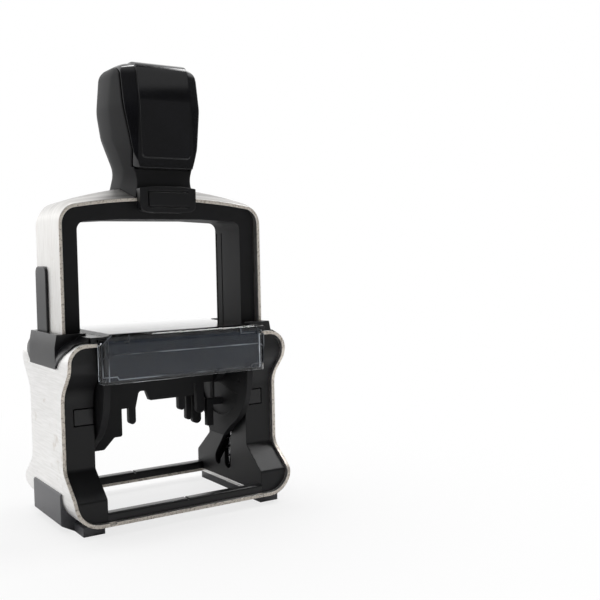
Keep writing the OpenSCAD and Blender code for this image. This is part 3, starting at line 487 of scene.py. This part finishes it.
def lay_floor():
    """A pale and plain floor that keeps the stamp's shadow."""
    shape = bmesh.new()
    bmesh.ops.create_grid(shape, x_segments=1, y_segments=1, size=FLOOR_HALF)
    floor = bpy.data.objects.new("floor", mesh_of(shape, "floor"))
    floor.location.z = -FLOOR_DROP
    scene.collection.objects.link(floor)
    finish = bpy.data.materials.new("pale_floor")
    finish.use_nodes = True
    tree = finish.node_tree
    tree.nodes.clear()
    paint = add_node(tree, "BsdfDiffuse", {"Color": linear("#ECECEC")})
    glow = add_node(tree, "Emission", {"Color": WHITE})
    spot = add_node(tree, "TexCoord").outputs["Object"]
    distance = add_node(tree, "VectorMath", links={0: spot}, operation="LENGTH")
    fade = add_node(tree, "MapRange",
                    {"From Min": SHADOW_FROM, "From Max": SHADOW_TO, "To Min": SHADOW_WHITE, "To Max": 1.0},
                    {"Value": distance.outputs["Value"]}, interpolation_type="SMOOTHSTEP")
    sight = add_node(tree, "LightPath")
    share = add_node(tree, "Math", links={0: sight.outputs["Is Camera Ray"], 1: fade.outputs["Result"]},
                     operation="MULTIPLY")
    mixed = add_node(tree, "MixShader", links={0: share.outputs["Value"], 1: paint.outputs["BSDF"],
                                               2: glow.outputs["Emission"]})
    add_node(tree, "OutputMaterial", links={"Surface": mixed.outputs["Shader"]})
    floor.data.materials.append(finish)


lay_floor()

# The studio's light comes from behind the stamp and falls off towards the camera's side
STUDIO_TOWARDS = Vector((-0.45, 0.87, 0.12)).normalized()
STUDIO_DARK = 0.04
STUDIO_BRIGHT = 1.3


def light_studio():
    """A studio that the eye sees as white, also through the clear cover."""
    world = bpy.data.worlds.new("studio")
    scene.world = world
    world.use_nodes = True
    tree = world.node_tree
    tree.nodes.clear()
    heading = add_node(tree, "TexCoord").outputs["Generated"]
    towards = add_node(tree, "VectorMath", {1: STUDIO_TOWARDS}, {0: heading}, operation="DOT_PRODUCT")
    studio = add_node(tree, "MapRange",
                      {"From Min": -0.3, "From Max": 0.55, "To Min": STUDIO_DARK, "To Max": STUDIO_BRIGHT},
                      {"Value": towards.outputs["Value"]}, interpolation_type="SMOOTHSTEP")
    sight = add_node(tree, "LightPath")
    seen = add_node(tree, "Math",
                    links={0: sight.outputs["Is Camera Ray"], 1: sight.outputs["Is Transmission Ray"]},
                    operation="MAXIMUM")
    level = add_node(tree, "Mix", {"B": 1.0},
                     {"Factor": seen.outputs["Value"], "A": studio.outputs["Result"]})
    sky = add_node(tree, "Background", {"Color": WHITE}, {"Strength": level.outputs["Result"]})
    add_node(tree, "OutputWorld", links={"Surface": sky.outputs["Background"]})


light_studio()


def softbox(name, place, target, width, watts):
    """A square lamp at a place, turned to a target, with its lengths in metres."""
    lamp = bpy.data.lights.new(name, "AREA")
    lamp.size = width
    lamp.energy = watts
    holder = bpy.data.objects.new(name, lamp)
    holder.location = place
    holder.rotation_euler = (Vector(target) - Vector(place)).to_track_quat("-Z", "Y").to_euler()
    scene.collection.objects.link(holder)


STAMP_MIDDLE = (0, 0, 0.08)
GRIP_MIDDLE = (0, 0, 0.14)
softbox("side_softbox", (0.45, 0.02, 0.75), STAMP_MIDDLE, width=0.3, watts=2.8)
softbox("top_softbox", (-0.06, 0.22, 0.95), GRIP_MIDDLE, width=0.2, watts=1.4)
softbox("front_softbox", (0.3, -0.45, 0.75), STAMP_MIDDLE, width=0.5, watts=0.4)
softbox("low_fill", (0.42, -0.95, 0.42), GRIP_MIDDLE, width=0.5, watts=0.12)

# Camera at the photograph's place, with its angles in degrees and its focal length in pixels of a frame that
# is 600 pixels wide
CAMERA_AT = Vector((-134.1, -300.2, 92.0)) * MM
YAW, PITCH, ROLL = (math.radians(angle) for angle in (-33.521, 3.099, -1.081))
FOCAL_PX = 882.2
FRAME_PX = 600
NEAR_CLIP = 0.01


def place_camera():
    """A camera that looks ahead by its yaw and pitch, and is then rolled."""
    ahead = Vector((-math.sin(YAW) * math.cos(PITCH), math.cos(YAW) * math.cos(PITCH), -math.sin(PITCH)))
    level_right = Vector((math.cos(YAW), math.sin(YAW), 0))
    level_up = level_right.cross(ahead)
    right = math.cos(ROLL) * level_right + math.sin(ROLL) * level_up
    up = math.cos(ROLL) * level_up - math.sin(ROLL) * level_right
    lens = bpy.data.cameras.new("camera")
    lens.sensor_width = 36
    lens.lens = lens.sensor_width * FOCAL_PX / FRAME_PX
    lens.clip_start = NEAR_CLIP
    camera = bpy.data.objects.new("camera", lens)
    camera.matrix_world = Matrix.Translation(CAMERA_AT) @ Matrix((right, up, -ahead)).transposed().to_4x4()
    scene.collection.objects.link(camera)
    scene.camera = camera


place_camera()
scene.view_settings.view_transform = "Standard"
